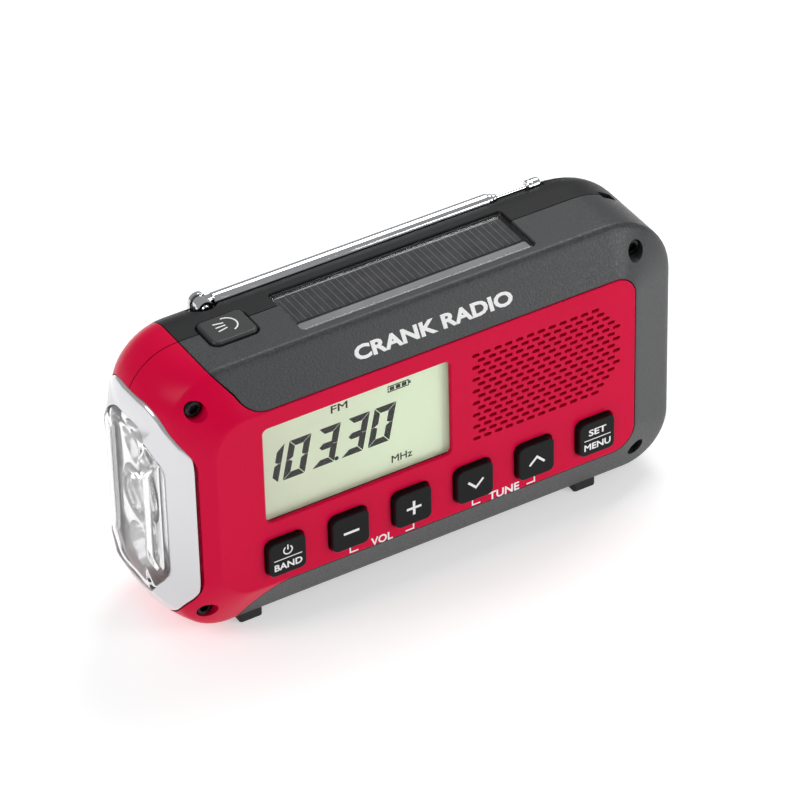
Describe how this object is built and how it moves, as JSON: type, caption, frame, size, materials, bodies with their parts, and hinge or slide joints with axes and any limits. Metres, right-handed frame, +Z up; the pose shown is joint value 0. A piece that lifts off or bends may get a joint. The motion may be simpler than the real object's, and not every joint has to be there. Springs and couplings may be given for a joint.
{
  "type": "emergency crank radio",
  "caption": "Palm-size emergency radio with a torch end, liquid crystal display, speaker grille, front keys, solar panel, telescopic antenna and fold-out hand crank.",
  "frame": {"origin": "under the middle of the radio, on the plane its feet stand on", "axes": "+X runs along the radio away from the torch end, +Y runs from the front face to the back, +Z is up"},
  "size_m": [0.155, 0.0478, 0.0849],
  "materials": {
    "red_plastic": "satin crimson moulding",
    "grey_plastic": "fine spark-eroded charcoal moulding",
    "dark_plastic": "fine spark-eroded dark charcoal moulding",
    "black_plastic": "satin black moulding",
    "rubber": "soft black rubber",
    "clear_plastic": "clear polished polycarbonate",
    "led": "clear moulded light-emitting diode",
    "display": "pale grey-green reflective liquid crystal glass",
    "white_board": "white solder mask",
    "chrome": "bright chrome",
    "steel": "plated steel",
    "black_steel": "black oxide screw",
    "brass": "machined brass",
    "circuit_board": "green solder mask",
    "solar_silicon": "dark silicon with fine grid lines",
    "cone": "pressed paper cone",
    "nylon": "natural nylon",
    "cell_wrap": "plain blue heat-shrink sleeve"
  },
  "bodies": {
    "case": {"front_panel": "red_plastic", "front_housing": "grey_plastic", "rear_end_cap": "red_plastic", "rear_housing": "dark_plastic", "screw_top_left": "black_steel", "screw_bottom_left": "black_steel", "screw_top_right": "black_steel", "screw_bottom_right": "black_steel", "foot_front_left": "rubber", "foot_front_right": "rubber", "foot_rear_left": "rubber", "foot_rear_right": "rubber", "torch_lens": "clear_plastic", "torch_reflector": "chrome", "torch_led_board": "white_board", "torch_led_main": "led", "torch_led_upper": "led", "torch_led_lower": "led", "torch_switch": "circuit_board", "lcd_window": "clear_plastic", "lcd_module": "display", "keypad_membrane": "rubber", "key_board": "circuit_board", "main_board": "circuit_board", "speaker_frame": "steel", "speaker_cone": "cone", "solar_window": "clear_plastic", "solar_cell": "solar_silicon", "crank_bush": "brass", "generator": "steel", "gear_plate": "steel", "battery_holder": "black_plastic", "battery_cell": "cell_wrap", "battery_contact_negative": "brass", "battery_contact_positive": "brass", "port_board": "circuit_board", "usb_socket": "steel", "charge_socket": "steel", "headphone_socket": "black_plastic"},
    "torch_key": {"torch_button": "black_plastic"},
    "antenna_swivel_body": {"antenna_base": "chrome"},
    "antenna_first": {"antenna_tube_1": "chrome"},
    "antenna_second": {"antenna_tube_2": "chrome"},
    "antenna_third": {"antenna_tube_3": "chrome"},
    "antenna_last": {"antenna_rod": "chrome"},
    "crank_shaft": {"crank_hub": "black_plastic", "crank_hinge_pin": "steel", "crank_gear": "nylon"},
    "crank_lever": {"crank_arm": "black_plastic"},
    "crank_handle": {"crank_knob": "black_plastic"},
    "intermediate": {"intermediate_gear": "nylon"},
    "generator_rotor": {"generator_pinion": "brass"},
    "door": {"battery_door": "dark_plastic"},
    "cover": {"port_cover": "rubber"},
    "key_power": {"button_power": "black_plastic"},
    "key_volume_down": {"button_volume_down": "black_plastic"},
    "key_volume_up": {"button_volume_up": "black_plastic"},
    "key_tune_down": {"button_tune_down": "black_plastic"},
    "key_tune_up": {"button_tune_up": "black_plastic"},
    "key_menu": {"button_menu": "black_plastic"}
  },
  "joints": [
    {"name": "power_press", "type": "slide", "parent": "case", "child": "key_power", "axis": [0, 1, 0], "range_m": [0, 0.0009], "stiffness_N_per_m": 800, "springref_m": -0.001},
    {"name": "volume_down_press", "type": "slide", "parent": "case", "child": "key_volume_down", "axis": [0, 1, 0], "range_m": [0, 0.0009], "stiffness_N_per_m": 800, "springref_m": -0.001},
    {"name": "volume_up_press", "type": "slide", "parent": "case", "child": "key_volume_up", "axis": [0, 1, 0], "range_m": [0, 0.0009], "stiffness_N_per_m": 800, "springref_m": -0.001},
    {"name": "tune_down_press", "type": "slide", "parent": "case", "child": "key_tune_down", "axis": [0, 1, 0], "range_m": [0, 0.0009], "stiffness_N_per_m": 800, "springref_m": -0.001},
    {"name": "tune_up_press", "type": "slide", "parent": "case", "child": "key_tune_up", "axis": [0, 1, 0], "range_m": [0, 0.0009], "stiffness_N_per_m": 800, "springref_m": -0.001},
    {"name": "menu_press", "type": "slide", "parent": "case", "child": "key_menu", "axis": [0, 1, 0], "range_m": [0, 0.0009], "stiffness_N_per_m": 800, "springref_m": -0.001},
    {"name": "torch_press", "type": "slide", "parent": "case", "child": "torch_key", "axis": [0, 0, -1], "range_m": [0, 0.0008], "stiffness_N_per_m": 800, "springref_m": -0.001},
    {"name": "antenna_swivel", "type": "hinge", "parent": "case", "child": "antenna_swivel_body", "pos_m": [-0.047, 0.0136, 0.0825], "axis": [0, 0, 1], "range_deg": [0, 110]},
    {"name": "antenna_tilt", "type": "hinge", "parent": "antenna_swivel_body", "child": "antenna_first", "pos_m": [-0.047, 0.0136, 0.0825], "axis": [0, -1, 0], "range_deg": [0, 90]},
    {"name": "antenna_pull_1", "type": "slide", "parent": "antenna_first", "child": "antenna_second", "axis": [1, 0, 0], "range_m": [0, 0.068]},
    {"name": "antenna_pull_2", "type": "slide", "parent": "antenna_second", "child": "antenna_third", "axis": [1, 0, 0], "range_m": [0, 0.068]},
    {"name": "antenna_pull_3", "type": "slide", "parent": "antenna_third", "child": "antenna_last", "axis": [1, 0, 0], "range_m": [0, 0.066]},
    {"name": "crank_turn", "type": "hinge", "parent": "case", "child": "crank_shaft", "pos_m": [-0.0275, 0.0099, 0.042], "axis": [0, 1, 0], "continuous": true},
    {"name": "crank_fold", "type": "hinge", "parent": "crank_shaft", "child": "crank_lever", "pos_m": [-0.0275, 0.0219, 0.042], "axis": [0, 0, 1], "range_deg": [0, 180]},
    {"name": "knob_spin", "type": "hinge", "parent": "crank_lever", "child": "crank_handle", "pos_m": [-0.008, 0.015, 0.042], "axis": [0, 1, 0], "continuous": true},
    {"name": "intermediate_turn", "type": "hinge", "parent": "case", "child": "intermediate", "pos_m": [-0.02261, 0.005, 0.02374], "axis": [0, 1, 0], "continuous": true},
    {"name": "generator_turn", "type": "hinge", "parent": "case", "child": "generator_rotor", "pos_m": [-0.00841, 0, 0.02755], "axis": [0, 1, 0], "continuous": true},
    {"name": "battery_door_hinge", "type": "hinge", "parent": "case", "child": "door", "pos_m": [0.037, 0.021, 0.019], "axis": [-1, 0, 0], "range_deg": [0, 100]},
    {"name": "port_cover_hinge", "type": "hinge", "parent": "case", "child": "cover", "pos_m": [0.07655, 0.00905, 0.051], "axis": [0, 0, 1], "range_deg": [0, 100]}
  ],
  "couplings": [
    {"joint": "intermediate_turn", "follows": "crank_turn", "ratio": -3.2},
    {"joint": "generator_turn", "follows": "crank_turn", "ratio": 10.24}
  ]
}
